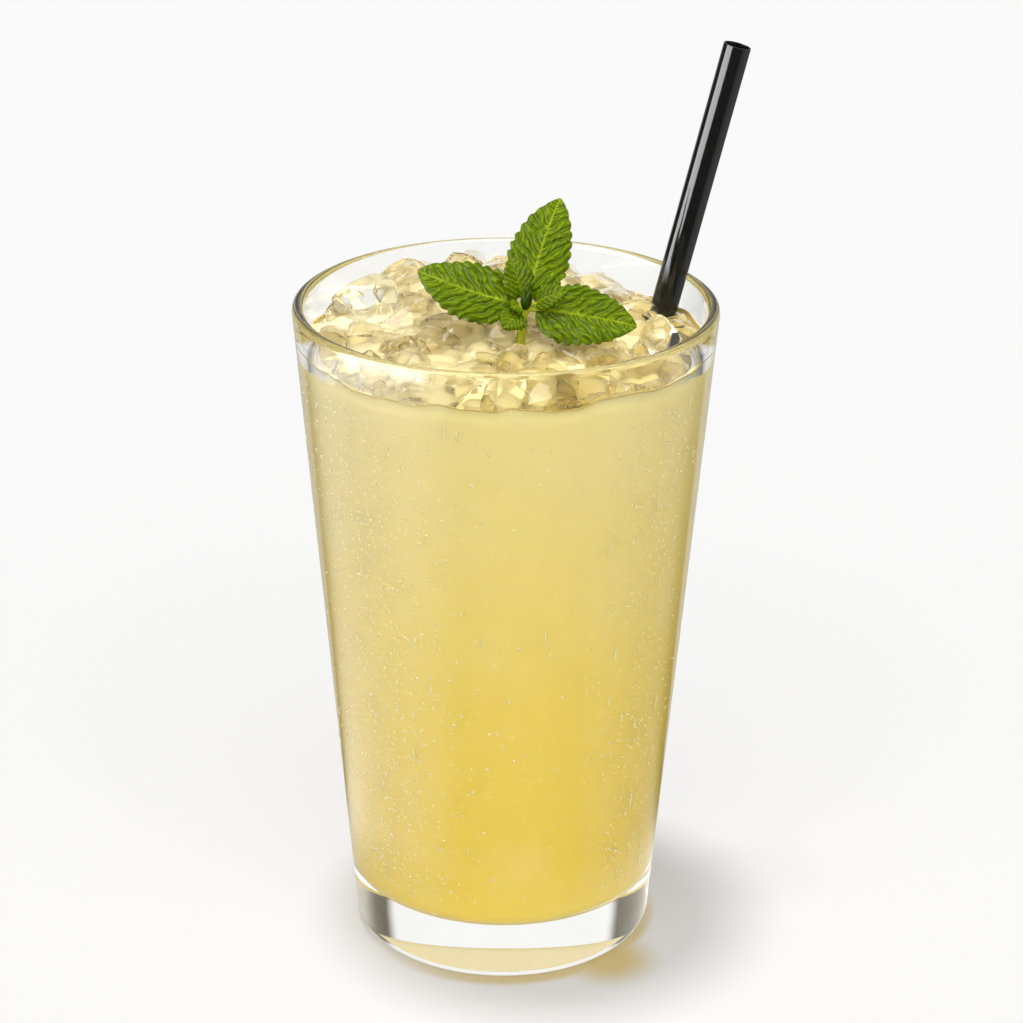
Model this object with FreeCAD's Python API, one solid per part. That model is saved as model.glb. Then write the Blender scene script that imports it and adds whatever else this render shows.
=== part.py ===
# A tall glass of crushed-ice lemonade with a drinking straw and a sprig of mint.
# Millimetres. +Z is up, the origin is at the middle of the base, on the surface it stands on,
# and the mint faces -Y. Each piece is one solid in its own node: glass, lemonade, crushed_ice,
# straw and mint_sprig.
import FreeCAD
import Part
import math
import os

from FreeCAD import Vector

# ---- Glass: a pressed conical tumbler with a thick base ----
glass_height = 142.0
rim_radius = 44.0            # outside, at the lip
foot_radius = 31.9           # outside wall carried down to the standing surface
wall_thickness = 2.5         # measured level, the same all the way up
base_thickness = 12.6        # standing surface to the inner floor
foot_corner_radius = 3.4     # outside, where the wall meets the base
floor_corner_radius = 4.5    # inside, where the wall meets the floor
foot_ring_width = 3.0        # flat ring that the glass stands on
foot_recess_depth = 0.4      # hollow under the base

# ---- Lemonade: fills the glass up to its level ----
drink_below_rim = 11.5
drink_level = glass_height - drink_below_rim
fill_gap = 0.1               # between the drink or the ice and what they lie against

# ---- Crushed ice: one heap on the drink, with an uneven top ----
ice_below_rim = 8.8
ice_wall_height = glass_height - ice_below_rim    # the heap's edge at the front
ice_back_rise = 5.0          # how much higher its edge is at its highest place
ice_back_azimuth = 108.0     # degrees, where that place is
ice_crown = 5.0              # how far its middle stands above its front edge
ice_lump_count = 120
ice_lump_radius = 4.2
ice_lump_relief = 3.0        # from the hollows between the lumps to the tallest one's top
ice_relief_level = 0.45      # share of the relief that lies under the heap's mean surface
ice_rings = 19
ice_sectors = 90

# ---- Straw: stands on the inner floor and leans on the lip ----
straw_diameter = 5.75
straw_wall = 0.3
straw_length = 183.3
straw_foot_x = 3.6
straw_foot_y = 13.0
straw_lip_azimuth = 25.5     # degrees, where it leans on the lip
straw_gap = 0.1              # to the floor, the lip and what it stands in

# ---- Mint sprig: its stem stands in the ice, its leaves spread in one whorl ----
stem_radius = 0.95
stem_gap = 0.1               # between the stem and the ice that holds it
stem_x = 2.6
stem_y = -9.6
stem_lean = 7.0              # degrees that the stem leans towards +X
stem_depth = 5.5             # how deep the stem stands in the ice
stem_height = 5.8            # from the ice to the whorl
whorl_tilt = 45.0            # degrees that the whorl's axis leans from +Z towards -Y
whorl_node_radius = 1.25
petiole_radius = 0.6
petiole_length = 2.4
leaf_thickness = 0.45
leaf_stations = 24           # along a large leaf, two for each tooth of its margin
leaf_columns = 6             # across a leaf
tooth_depth = 0.07           # share of the leaf's half width
base_roundness = 0.45        # powers of a leaf's outline: the lower, the blunter that end
tip_roundness = 0.75
# angle round the whorl from +X, length, width, lift out of the whorl's plane,
# arch towards its face, bow to its side, fold along its rib
large_leaves = [
    (161.0, 23.2, 12.8, 3.0, 0.6, 0.9, 0.16),
    (74.0, 25.2, 12.4, 3.0, 0.6, 0.5, 0.14),
    (-11.5, 22.8, 13.2, 3.0, 0.6, 0.0, 0.12),
]
small_leaves = [
    (110.0, 10.5, 6.4, 30.0, 0.6, 0.0, 0.45),
    (10.0, 9.8, 5.2, 30.0, 0.6, 0.0, 0.45),
    (233.0, 7.6, 6.2, 18.0, 0.6, 0.0, 0.15),
    (212.0, 5.0, 3.6, 48.0, 0.4, 0.0, 0.25),
]
bud_angle = 78.0
bud_lift = 50.0
bud_length = 6.6
bud_radius = 0.9


def line(start, end):
    """A straight edge between two points."""
    return Part.makeLine(start, end)


def point(radius, height):
    """A point of a turned outline, in the XZ plane."""
    return Vector(radius, 0, height)


def outer_radius(height):
    """Radius of the glass's outside wall at a height."""
    return foot_radius + (rim_radius - foot_radius) * height / glass_height


def inner_radius(height):
    """Radius of the glass's inside wall at a height."""
    return outer_radius(height) - wall_thickness


def turn(edges):
    """A solid turned about Z from a closed outline of edges in the XZ plane."""
    face = Part.Face(Part.Wire(edges))
    return face.revolve(Vector(0, 0, 0), Vector(0, 0, 1), 360)


def corner(before, at, after, radius):
    """Start, middle and end of the arc that rounds a corner of two straight lines."""
    to_before = (before - at).normalize()
    to_after = (after - at).normalize()
    half_angle = to_before.getAngle(to_after) / 2
    bisector = (to_before + to_after).normalize()
    reach = radius / math.tan(half_angle)
    centre = at + bisector * (radius / math.sin(half_angle))
    return at + to_before * reach, centre - bisector * radius, at + to_after * reach


def cavity(gap, top):
    """What fills the glass from its floor to a height, clear of it by a gap."""
    floor = base_thickness + gap
    foot = point(inner_radius(floor) - gap, floor)
    brim = point(inner_radius(top) - gap, top)
    centre = point(0, floor)
    start, middle, end = corner(centre, foot, brim, floor_corner_radius - gap)
    return turn([
        line(centre, start),
        Part.Arc(start, middle, end).toShape(),
        line(end, brim),
        line(brim, point(0, top)),
        line(point(0, top), centre),
    ])


def make_glass():
    """The tumbler: straight flared wall, round lip, thick base with a hollow under it."""
    lip_radius = wall_thickness / 2
    lip_base = glass_height - lip_radius
    top = point(outer_radius(lip_base), lip_base)
    wall_foot = point(outer_radius(0), 0)
    ring_outside = point(foot_radius - 2 * foot_corner_radius, 0)
    start, middle, end = corner(ring_outside, wall_foot, top, foot_corner_radius)
    ring_inside = point(start.x - foot_ring_width, 0)
    recess_top = point(0, foot_recess_depth)
    recess_radius = (ring_inside.x ** 2 + foot_recess_depth ** 2) / (2 * foot_recess_depth)
    half_sweep = math.asin(ring_inside.x / recess_radius) / 2
    recess_middle = point(
        recess_radius * math.sin(half_sweep),
        foot_recess_depth - recess_radius * (1 - math.cos(half_sweep)))
    inner_lip = point(inner_radius(lip_base), lip_base)
    lip_centre = point(outer_radius(lip_base) - lip_radius, lip_base)
    crest = lip_centre + point(0, lip_radius)
    lip_diagonal = lip_radius * math.sqrt(0.5)
    lip_outside = lip_centre + point(lip_diagonal, lip_diagonal)
    lip_inside = lip_centre + point(-lip_diagonal, lip_diagonal)
    floor_centre = point(0, base_thickness)
    floor_edge = point(inner_radius(base_thickness), base_thickness)
    in_start, in_middle, in_end = corner(
        inner_lip, floor_edge, floor_centre, floor_corner_radius)
    return turn([
        Part.Arc(recess_top, recess_middle, ring_inside).toShape(),
        line(ring_inside, start),
        Part.Arc(start, middle, end).toShape(),
        line(end, top),
        Part.Arc(top, lip_outside, crest).toShape(),
        Part.Arc(crest, lip_inside, inner_lip).toShape(),
        line(inner_lip, in_start),
        Part.Arc(in_start, in_middle, in_end).toShape(),
        line(in_end, floor_centre),
        line(floor_centre, recess_top),
    ])


def straw_axis():
    """The straw's foot centre and its direction, from the floor and the lip it leans on."""
    radius = straw_diameter / 2
    lip_radius = wall_thickness / 2
    lip_height = glass_height - lip_radius
    lip_centre = inner_radius(lip_height) + lip_radius
    azimuth = math.radians(straw_lip_azimuth)
    lean_radius = lip_centre - lip_radius - straw_gap - radius
    for _ in range(20):
        at_lip = Vector(
            lean_radius * math.cos(azimuth), lean_radius * math.sin(azimuth), lip_height)
        foot = Vector(straw_foot_x, straw_foot_y, base_thickness + straw_gap)
        direction = (at_lip - foot).normalize()
        tilt = math.acos(direction.z)
        foot.z += radius * math.sin(tilt)
        direction = (at_lip - foot).normalize()
        radial = Vector(math.cos(azimuth), math.sin(azimuth), 0)
        across = math.sqrt(1 - direction.dot(radial) ** 2)
        lean_radius = lip_centre - (lip_radius + straw_gap + radius) / across
    return foot, direction


def make_straw():
    """A plain tube cut square at both ends."""
    foot, direction = straw_axis()
    outside = Part.makeCylinder(straw_diameter / 2, straw_length, foot, direction)
    bore = Part.makeCylinder(straw_diameter / 2 - straw_wall, straw_length, foot, direction)
    return outside.cut(bore)


def straw_room():
    """The room that the straw takes in the drink and the ice, down through the floor."""
    foot, direction = straw_axis()
    past_foot = straw_diameter
    return Part.makeCylinder(
        straw_diameter / 2 + straw_gap, straw_length, foot - direction * past_foot, direction)


def stem_root():
    """The lower end of the mint's stem, in the ice."""
    return Vector(stem_x, stem_y, ice_height(stem_x, stem_y, ice_lumps()) - stem_depth)


def stem_direction():
    """The way that the mint's stem rises."""
    lean = math.radians(stem_lean)
    return Vector(math.sin(lean), 0, math.cos(lean))


def stem_room():
    """The room that the mint's stem takes in the ice."""
    root = stem_root() - stem_direction() * stem_gap
    return Part.makeCylinder(stem_radius + stem_gap, 2 * stem_depth, root, stem_direction())


def make_lemonade():
    """The drink, from the inner floor to its level, cut round the straw."""
    return cavity(fill_gap, drink_level).cut(straw_room())


def ice_lumps():
    """Places of the lumps of ice, in a sunflower spiral, and their heights from 0.3 to 1."""
    golden_angle = math.pi * (3 - math.sqrt(5))
    spread = inner_radius(ice_wall_height)
    lumps = []
    for index in range(ice_lump_count):
        radius = spread * math.sqrt((index + 0.5) / ice_lump_count)
        angle = golden_angle * index
        height = 0.65 + 0.35 * math.sin(2.7 * index)
        lumps.append((radius * math.cos(angle), radius * math.sin(angle), height))
    return lumps


def ice_height(x, y, lumps):
    """Height of the heap's top: a low crown, higher at the back, with a cap for each lump."""
    share = math.hypot(x, y) / inner_radius(ice_wall_height)
    from_back = math.atan2(y, x) - math.radians(ice_back_azimuth)
    back = share * ((1 + math.cos(from_back)) / 2) ** 3
    height = ice_wall_height + ice_back_rise * back + ice_crown * (1 - share ** 2)
    cap = 0.0
    for lump_x, lump_y, lump_height in lumps:
        distance = math.hypot(x - lump_x, y - lump_y) / ice_lump_radius
        if distance < 1:
            cap = max(cap, lump_height * math.sqrt(1 - distance ** 2))
    return height + ice_lump_relief * (cap - ice_relief_level)


def make_crushed_ice():
    """The heap: facets from its middle out to the wall, then down the wall to the drink."""
    lumps = ice_lumps()
    bottom = drink_level + fill_gap
    rings = []
    for ring in range(1, ice_rings + 1):
        share = ring / ice_rings
        points = []
        for sector in range(ice_sectors):
            angle = 2 * math.pi * (sector + 0.5 * (ring % 2)) / ice_sectors
            x = share * inner_radius(ice_wall_height) * math.cos(angle)
            y = share * inner_radius(ice_wall_height) * math.sin(angle)
            height = ice_height(x, y, lumps)
            if ring == ice_rings:
                edge = inner_radius(height) - fill_gap
                x, y = edge * math.cos(angle), edge * math.sin(angle)
            points.append(Vector(x, y, height))
        rings.append(points)
    middle = Vector(0, 0, ice_height(0, 0, lumps))
    foot = []
    for top in rings[-1]:
        angle = math.atan2(top.y, top.x)
        edge = inner_radius(bottom) - fill_gap
        foot.append(Vector(edge * math.cos(angle), edge * math.sin(angle), bottom))
    facets = []
    for sector in range(ice_sectors):
        following = (sector + 1) % ice_sectors
        facets.append([middle, rings[0][sector], rings[0][following]])
        for ring in range(ice_rings - 1):
            low, high = rings[ring], rings[ring + 1]
            # rings are staggered by half a sector, so the diagonal changes side each ring
            if ring % 2:
                facets.append([low[sector], high[sector], low[following]])
                facets.append([low[following], high[sector], high[following]])
            else:
                facets.append([low[sector], high[sector], high[following]])
                facets.append([low[sector], high[following], low[following]])
        facets.append([rings[-1][sector], foot[sector], foot[following], rings[-1][following]])
    facets.append(foot)
    return closed_solid(facets).cut(straw_room()).cut(stem_room())


def closed_solid(facets):
    """A solid sewn from flat facets."""
    faces = [Part.Face(Part.makePolygon(corners + [corners[0]])) for corners in facets]
    shell = Part.Shell(Part.Compound(faces).Faces)
    solid = Part.Solid(shell)
    if solid.Volume < 0:
        solid.reverse()
    return solid


def leaf_direction(angle, lift):
    """A direction from the whorl's centre, and the way that a leaf there faces."""
    tilt = math.radians(whorl_tilt)
    axis = Vector(0, -math.sin(tilt), math.cos(tilt))
    upward = Vector(0, math.cos(tilt), math.sin(tilt))
    turn_angle = math.radians(angle)
    lift_angle = math.radians(lift)
    outward = Vector(math.cos(turn_angle), 0, 0) + upward * math.sin(turn_angle)
    along = outward * math.cos(lift_angle) + axis * math.sin(lift_angle)
    facing = axis * math.cos(lift_angle) - outward * math.sin(lift_angle)
    return along, facing


def make_leaf(centre, size, stations):
    """A thin toothed blade, widest below its middle, arched along its rib and folded on it."""
    angle, length, width, lift, arch, bow, fold = size
    along, facing = leaf_direction(angle, lift)
    across = facing.cross(along)
    blade_length = length - petiole_length
    base = centre + along * petiole_length
    peak_share = base_roundness / (base_roundness + tip_roundness)
    outline_peak = peak_share ** base_roundness * (1 - peak_share) ** tip_roundness
    rows = []
    for station in range(stations + 1):
        share = station / stations
        outline = share ** base_roundness * (1 - share) ** tip_roundness / outline_peak
        tooth = 1 + tooth_depth * (1 if station % 2 else -1)
        half_width = max(petiole_radius * 0.6, width / 2 * outline * tooth)
        swell = 4 * share * (1 - share)
        rib = base + along * (blade_length * share) + (facing * arch + across * bow) * swell
        row = []
        for column in range(leaf_columns + 1):
            side = 2 * column / leaf_columns - 1
            rise = fold * half_width * abs(side) ** 1.4
            row.append(rib + across * (half_width * side) + facing * rise)
        rows.append(row)
    under = facing * -leaf_thickness
    facets = []

    def skin(corners):
        """Both sides of the blade at four corners, each as two triangles."""
        first, second, third, fourth = corners
        for triangle in ([first, second, third], [first, third, fourth]):
            facets.append(triangle)
            facets.append([vertex + under for vertex in reversed(triangle)])

    for low, high in zip(rows, rows[1:]):
        for column in range(leaf_columns):
            skin([low[column], low[column + 1], high[column + 1], high[column]])
    edge = rows[0] + [row[-1] for row in rows[1:-1]] + rows[-1][::-1]
    edge += [row[0] for row in reversed(rows[1:-1])]
    for start, end in zip(edge, edge[1:] + edge[:1]):
        facets.append([start, start + under, end + under])
        facets.append([start, end + under, end])
    return closed_solid(facets)


def rod(start, end, radius):
    """A round rod between two points, with a ball at its far end."""
    rise = end - start
    stick = Part.makeCylinder(radius, rise.Length, start, rise)
    return stick.fuse(Part.makeSphere(radius, end))


def make_mint_sprig():
    """Stem, whorl, petioles, leaves and bud, as one solid."""
    root = stem_root()
    centre = root + stem_direction() * (stem_depth + stem_height)
    sprig = rod(root, centre, stem_radius).fuse(Part.makeSphere(whorl_node_radius, centre))
    for leaves, stations in ((large_leaves, leaf_stations), (small_leaves, leaf_stations // 2)):
        for size in leaves:
            along, facing = leaf_direction(size[0], size[3])
            into_blade = centre + along * (petiole_length + petiole_radius)
            sprig = sprig.fuse(rod(centre, into_blade, petiole_radius))
            sprig = sprig.fuse(make_leaf(centre, size, stations))
    along, facing = leaf_direction(bud_angle, bud_lift)
    sprig = sprig.fuse(rod(centre, centre + along * (bud_length - bud_radius), bud_radius))
    return sprig


os.makedirs("parts", exist_ok=True)
nodes = {
    "glass": make_glass,
    "lemonade": make_lemonade,
    "crushed_ice": make_crushed_ice,
    "straw": make_straw,
    "mint_sprig": make_mint_sprig,
}
for name, make in nodes.items():
    shape = make()
    if len(shape.Solids) != 1:
        raise RuntimeError(name + " isn't one solid")
    solid = shape.Solids[0]
    solid.exportStep("parts/" + name + ".step")
    print(name, "volume", round(solid.Volume), "mm3, faces", len(solid.Faces), solid.isValid())
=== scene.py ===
import math

import bpy
import numpy as np
from mathutils import Matrix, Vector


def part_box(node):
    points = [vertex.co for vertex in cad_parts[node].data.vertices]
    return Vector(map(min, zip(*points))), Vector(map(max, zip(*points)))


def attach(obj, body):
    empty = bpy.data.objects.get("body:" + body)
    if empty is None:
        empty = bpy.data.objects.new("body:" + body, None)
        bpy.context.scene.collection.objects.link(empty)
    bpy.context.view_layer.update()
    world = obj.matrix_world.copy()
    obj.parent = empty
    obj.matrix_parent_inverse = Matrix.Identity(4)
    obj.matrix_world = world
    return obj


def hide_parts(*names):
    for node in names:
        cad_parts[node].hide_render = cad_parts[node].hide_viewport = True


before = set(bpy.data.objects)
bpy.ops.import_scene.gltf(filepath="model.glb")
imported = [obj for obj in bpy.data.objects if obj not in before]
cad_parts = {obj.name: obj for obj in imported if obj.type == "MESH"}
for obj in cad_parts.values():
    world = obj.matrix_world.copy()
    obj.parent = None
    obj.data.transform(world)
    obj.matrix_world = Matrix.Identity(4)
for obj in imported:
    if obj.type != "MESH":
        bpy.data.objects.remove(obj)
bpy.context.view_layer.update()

# ---------------------------------------------------------------------------------------------
# The tumbler: pressed clear glass, turned in a mould, with a thick base, a flared wall and a
# round fire-polished lip. It stands on a flat ring round a shallow hollow.
# ---------------------------------------------------------------------------------------------
mm = 0.001
rim_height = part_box("glass")[1][2]
lip_radius = 1.25 * mm
lip_height = rim_height - lip_radius
lip_outside = 43.893 * mm
foot_radius = 31.9 * mm
wall = 2.5 * mm
floor_height = 12.6 * mm
foot_corner = 3.4 * mm
floor_corner = 4.5 * mm
ring_width = 3.0 * mm
hollow_depth = 0.4 * mm
middle_dot = 0.3 * mm
turns = 288
wall_steps = 24
glass_tint = (0.985, 0.995, 0.985, 1)
glass_ior = 1.5


def outer_wall(height):
    """Outside radius at a height: it grows evenly from the foot to the lip."""
    return foot_radius + (lip_outside - foot_radius) * height / lip_height


def inner_wall(height):
    """Inside radius at a height: the outside radius less the wall."""
    return outer_wall(height) - wall


def arc_corner(before, at, after, radius, steps=10):
    """Points that round the corner at one point: the circle that touches both straight sides."""
    before, at, after = np.array(before), np.array(at), np.array(after)
    first = (before - at) / np.linalg.norm(before - at)
    second = (after - at) / np.linalg.norm(after - at)
    half = math.acos(np.clip(first @ second, -1, 1)) / 2
    middle = (first + second) / np.linalg.norm(first + second)
    centre = at + middle * radius / math.sin(half)
    start = at + first * radius / math.tan(half) - centre
    end = at + second * radius / math.tan(half) - centre
    sweep = math.acos(np.clip(start @ end / radius ** 2, -1, 1))
    share = np.linspace(0, 1, steps)[:, None]
    blend = np.sin((1 - share) * sweep) * start + np.sin(share * sweep) * end
    return centre + blend / math.sin(sweep)


def run(start, end, steps):
    """Points spaced evenly on a straight line, without its two ends."""
    share = np.linspace(0, 1, steps + 2)[1:-1, None]
    return np.array(start) * (1 - share) + np.array(end) * share


def turned(profile, count):
    """Carries (radius, height) round Z: x = r cos a, y = r sin a, z = h, for even angles a."""
    angle = np.linspace(0, 2 * np.pi, count, endpoint=False)
    radius, height = profile[:, :1], profile[:, 1:]
    flat = np.zeros_like(angle)
    return np.stack([radius * np.cos(angle), radius * np.sin(angle), height + flat], axis=-1)


def closed_piece(name, rows, uv=None, marks=None):
    """Joins closed bodies into one mesh. rows is (bodies, rings, points round a ring, 3): each
    ring is joined to the next and the end rings are shut by a fan to their middle point."""
    bodies, rings, around = rows.shape[:3]
    ends = np.stack([rows[:, 0].mean(axis=1), rows[:, -1].mean(axis=1)], axis=1)
    points = np.concatenate([rows.reshape(-1, 3), ends.reshape(-1, 3)])
    ring = np.arange(rings * around).reshape(rings, around)
    following = np.roll(ring, -1, axis=1)
    quads = np.stack([ring[:-1], following[:-1], following[1:], ring[1:]], axis=-1).reshape(-1, 4)
    body = np.arange(bodies)[:, None, None]
    before_body = body * rings * around
    quads = (quads + before_body).reshape(-1, 4)
    blank = np.zeros(around, int)
    low = np.stack([following[0], ring[0], blank], axis=-1) + before_body
    high = np.stack([ring[-1], following[-1], blank], axis=-1) + before_body
    low[..., 2] = bodies * rings * around + 2 * body[..., 0]
    high[..., 2] = low[..., 2] + 1
    fans = np.concatenate([low.reshape(-1, 3), high.reshape(-1, 3)])
    corners = np.concatenate([quads.ravel(), fans.ravel()]).astype(np.int32)
    starts = np.concatenate([
        np.arange(len(quads)) * 4, len(quads) * 4 + np.arange(len(fans)) * 3]).astype(np.int32)
    mesh = bpy.data.meshes.new(name)
    mesh.vertices.add(len(points))
    mesh.vertices.foreach_set("co", points.astype(np.float32).ravel())
    mesh.loops.add(len(corners))
    mesh.loops.foreach_set("vertex_index", corners)
    mesh.polygons.add(len(starts))
    mesh.polygons.foreach_set("loop_start", starts)
    mesh.update(calc_edges=True)
    mesh.polygons.foreach_set("use_smooth", np.ones(len(starts), bool))
    if uv is not None:
        end_uv = np.stack([uv[:, 0].mean(axis=1), uv[:, -1].mean(axis=1)], axis=1)
        flat = np.concatenate([uv.reshape(-1, 2), end_uv.reshape(-1, 2)])
        layer = mesh.uv_layers.new(name="UVMap")
        layer.data.foreach_set("uv", flat[corners].astype(np.float32).ravel())
    for mark, values in (marks or {}).items():
        end_values = np.stack([values[:, 0].mean(axis=1), values[:, -1].mean(axis=1)], axis=1)
        flat = np.concatenate([values.ravel(), end_values.ravel()])
        layer = mesh.attributes.new(mark, "FLOAT", "POINT")
        layer.data.foreach_set("value", flat.astype(np.float32))
    mesh.validate()
    piece = bpy.data.objects.new(name, mesh)
    bpy.context.scene.collection.objects.link(piece)
    return piece


class Wiring:
    """A node tree, with short calls for its nodes and for what joins them."""

    def __init__(self, tree):
        self.tree = tree

    def node(self, kind, **values):
        """A new node of a kind, with its settings and its input values."""
        made = self.tree.nodes.new(kind)
        for key, value in values.items():
            if hasattr(made, key):
                setattr(made, key, value)
            else:
                made.inputs[key.replace("_", " ")].default_value = value
        return made

    def put(self, value, socket):
        """Joins an output to an input, or sets the input to a plain value."""
        if isinstance(value, bpy.types.NodeSocket):
            self.tree.links.new(value, socket)
        else:
            socket.default_value = value


class Finish(Wiring):
    """A material's wiring, with its surface shader and its output."""

    def __init__(self, name):
        self.material = bpy.data.materials.new(name)
        self.material.use_nodes = True
        super().__init__(self.material.node_tree)
        self.surface = self.tree.nodes["Principled BSDF"]
        self.output = self.tree.nodes["Material Output"]

    def set(self, **values):
        """Plain values, or outputs of other nodes, for the surface shader."""
        for key, value in values.items():
            self.put(value, self.surface.inputs[key.replace("_", " ")])


foot_edge = [outer_wall(0), 0]
wall_top = [outer_wall(lip_height), lip_height]
outside_corner = arc_corner([0, 0], foot_edge, wall_top, foot_corner)
ring_inside = outside_corner[0][0] - ring_width
hollow = np.linspace(0.02, 1, 14)
underside = np.stack([hollow * ring_inside, hollow_depth * (1 - hollow ** 2)], axis=-1)
inner_top = [inner_wall(lip_height), lip_height]
floor_edge = [inner_wall(floor_height), floor_height]
inside_corner = arc_corner(inner_top, floor_edge, [0, floor_height], floor_corner)
lip_angle = np.linspace(0, np.pi, 17)[:, None]
lip_centre = [inner_wall(lip_height) + lip_radius, lip_height]
lip_arc = lip_centre + lip_radius * np.hstack([np.cos(lip_angle), np.sin(lip_angle)])
glass_profile = np.concatenate([
    underside,
    run(underside[-1], outside_corner[0], 2),
    outside_corner,
    run(outside_corner[-1], lip_arc[0], wall_steps),
    lip_arc,
    run(lip_arc[-1], inside_corner[0], wall_steps),
    inside_corner,
    run(inside_corner[-1], [middle_dot, floor_height], 10),
])
tumbler = closed_piece("glass_tumbler", turned(glass_profile, turns)[None])
clear_glass = Finish("clear_glass")
clear_glass.set(Base_Color=glass_tint, Roughness=0.0, IOR=glass_ior, Transmission_Weight=1.0)
tumbler.data.materials.append(clear_glass.material)
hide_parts("glass")
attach(tumbler, "root")

# ---------------------------------------------------------------------------------------------
# The lemonade: a cloudy drink that wets the wall all round, up to a scalloped edge where the
# lumps of ice press on the glass. It reaches just into the wall, so that no air shows.
# ---------------------------------------------------------------------------------------------
into_wall = 0.12 * mm
drink_edge = 132.6 * mm
drink_dip = 1.0 * mm
drink_turns = 720
arches_round = 11
arch_rise = 0.35 * mm
water_ior = 1.33
deep_yellow = (0.89, 0.66, 0.105, 1)
middle_yellow = (0.89, 0.69, 0.15, 1)
upper_yellow = (0.88, 0.74, 0.31, 1)
pulp_yellow = (0.90, 0.80, 0.45, 1)
edge_azimuth = np.array([
    -180, -160, -151, -146, -141, -136, -127, -116, -108, -99, -93, -88, -77, -70, -64, -52, -40,
    -31, -15, 0, 22, 45, 70, 95, 120, 150, 180])
edge_rise = np.array([
    1.6, 2.2, 1.5, 1.9, 1.4, 0.5, 1.0, 0.8, 1.5, 1.1, 0.7, 1.9, 0.4, 0.8, 2.1, 1.9, 1.2, 1.6, 2.0,
    1.2, 2.0, 1.0, 2.1, 1.2, 1.9, 1.1, 1.6]) * mm


def edge_lift(turn):
    """How far the drink's edge rises at an azimuth a: stations round the wall, joined evenly,
    and arches |sin(11 a + 0.9 sin 3a)| that the pressed lumps leave between them."""
    arches = np.abs(np.sin(arches_round * turn + 0.9 * np.sin(3 * turn)))
    return np.interp(np.degrees(turn), edge_azimuth, edge_rise) + arch_rise * arches


drink_corner = arc_corner(
    [0, floor_height - into_wall],
    [inner_wall(floor_height) + into_wall, floor_height - into_wall],
    [inner_wall(drink_edge) + into_wall, drink_edge],
    floor_corner)
drink_profile = np.concatenate([
    run([0, floor_height - into_wall], drink_corner[0], 8),
    drink_corner,
    run(drink_corner[-1], [inner_wall(drink_edge) + into_wall, drink_edge], 40),
    [[inner_wall(drink_edge) + into_wall, drink_edge]],
    run([inner_wall(drink_edge), drink_edge], [0, drink_edge - drink_dip], 24),
])
drink_rows = turned(drink_profile, drink_turns)
# The rise of the edge fades out within the top tenth of the drink and just inside the wall.
angle = np.arctan2(drink_rows[..., 1], drink_rows[..., 0])
out = np.hypot(drink_rows[..., 0], drink_rows[..., 1]) / inner_wall(drink_edge)
near_edge = np.clip((drink_rows[..., 2] - 0.9 * drink_edge) / (0.1 * drink_edge), 0, 1) ** 3
drink_rows[..., 2] += edge_lift(angle) * near_edge * np.clip(out, 0, 1) ** 14
lemonade = closed_piece("lemonade_drink", drink_rows[None])


def scaled(finish, value, **spans):
    """A value carried evenly from the span From Min to From Max on to To Min to To Max."""
    made = finish.node("ShaderNodeMapRange", **spans)
    finish.put(value, made.inputs["Value"])
    return made.outputs[0]


def noise(finish, place, **values):
    """Cloudy noise at a place, about one half."""
    made = finish.node("ShaderNodeTexNoise", **values)
    finish.put(place, made.inputs["Vector"])
    return made.outputs["Fac"]


def ramp_colour(finish, factor, *stops):
    """The colour at a factor on a ramp of stops, each a place from 0 to 1 and its colour, with
    even blends between them."""
    made = finish.node("ShaderNodeValToRGB")
    stations = made.color_ramp.elements
    for station, (position, colour) in zip(stations, (stops[0], stops[-1])):
        station.position = position
        station.color = colour
    for position, colour in stops[1:-1]:
        stations.new(position).color = colour
    finish.put(factor, made.inputs["Fac"])
    return made.outputs[0]


def colour_mix(wiring, factor, first, second):
    """A mix of two colours, which are the mix node's inputs 6 and 7."""
    made = wiring.node("ShaderNodeMix", data_type="RGBA")
    wiring.put(factor, made.inputs[0])
    wiring.put(first, made.inputs[6])
    wiring.put(second, made.inputs[7])
    return made.outputs[2]


cloudy = Finish("cloudy_lemonade")
place = cloudy.node("ShaderNodeTexCoord").outputs["Object"]
split = cloudy.node("ShaderNodeSeparateXYZ")
cloudy.put(place, split.inputs[0])
level = split.outputs["Z"]
depth = scaled(cloudy, level, From_Min=0.015, From_Max=0.125)
# The yellow is deeper towards the bottom of the drink and paler towards the top.
colour_by_height = ramp_colour(cloudy, depth, (0, deep_yellow), (0.45, middle_yellow), (1, upper_yellow))
clouds = noise(cloudy, place, Scale=55.0, Detail=3.0, Roughness=0.5)
patches = scaled(cloudy, clouds, From_Min=0.48, From_Max=0.72, To_Max=0.18)
cloudy.set(Base_Color=colour_mix(cloudy, patches, colour_by_height, pulp_yellow))
cloudy.set(Roughness=0.5, Specular_IOR_Level=0.0)
grazing = cloudy.node("ShaderNodeFresnel", IOR=water_ior / glass_ior)
upward = scaled(cloudy, level, From_Min=0.0128, From_Max=0.016, To_Min=0.3, To_Max=0.85)
partly = cloudy.node("ShaderNodeMath", operation="MULTIPLY")
cloudy.put(grazing.outputs[0], partly.inputs[0])
cloudy.put(upward, partly.inputs[1])
mirror = cloudy.node("ShaderNodeBsdfGlossy", Roughness=0.0)
skin = cloudy.node("ShaderNodeMixShader")
cloudy.put(partly.outputs[0], skin.inputs[0])
cloudy.put(cloudy.surface.outputs[0], skin.inputs[1])
cloudy.put(mirror.outputs[0], skin.inputs[2])
cloudy.put(skin.outputs[0], cloudy.output.inputs["Surface"])
lemonade.data.materials.append(cloudy.material)
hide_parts("lemonade")
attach(lemonade, "root")

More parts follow.
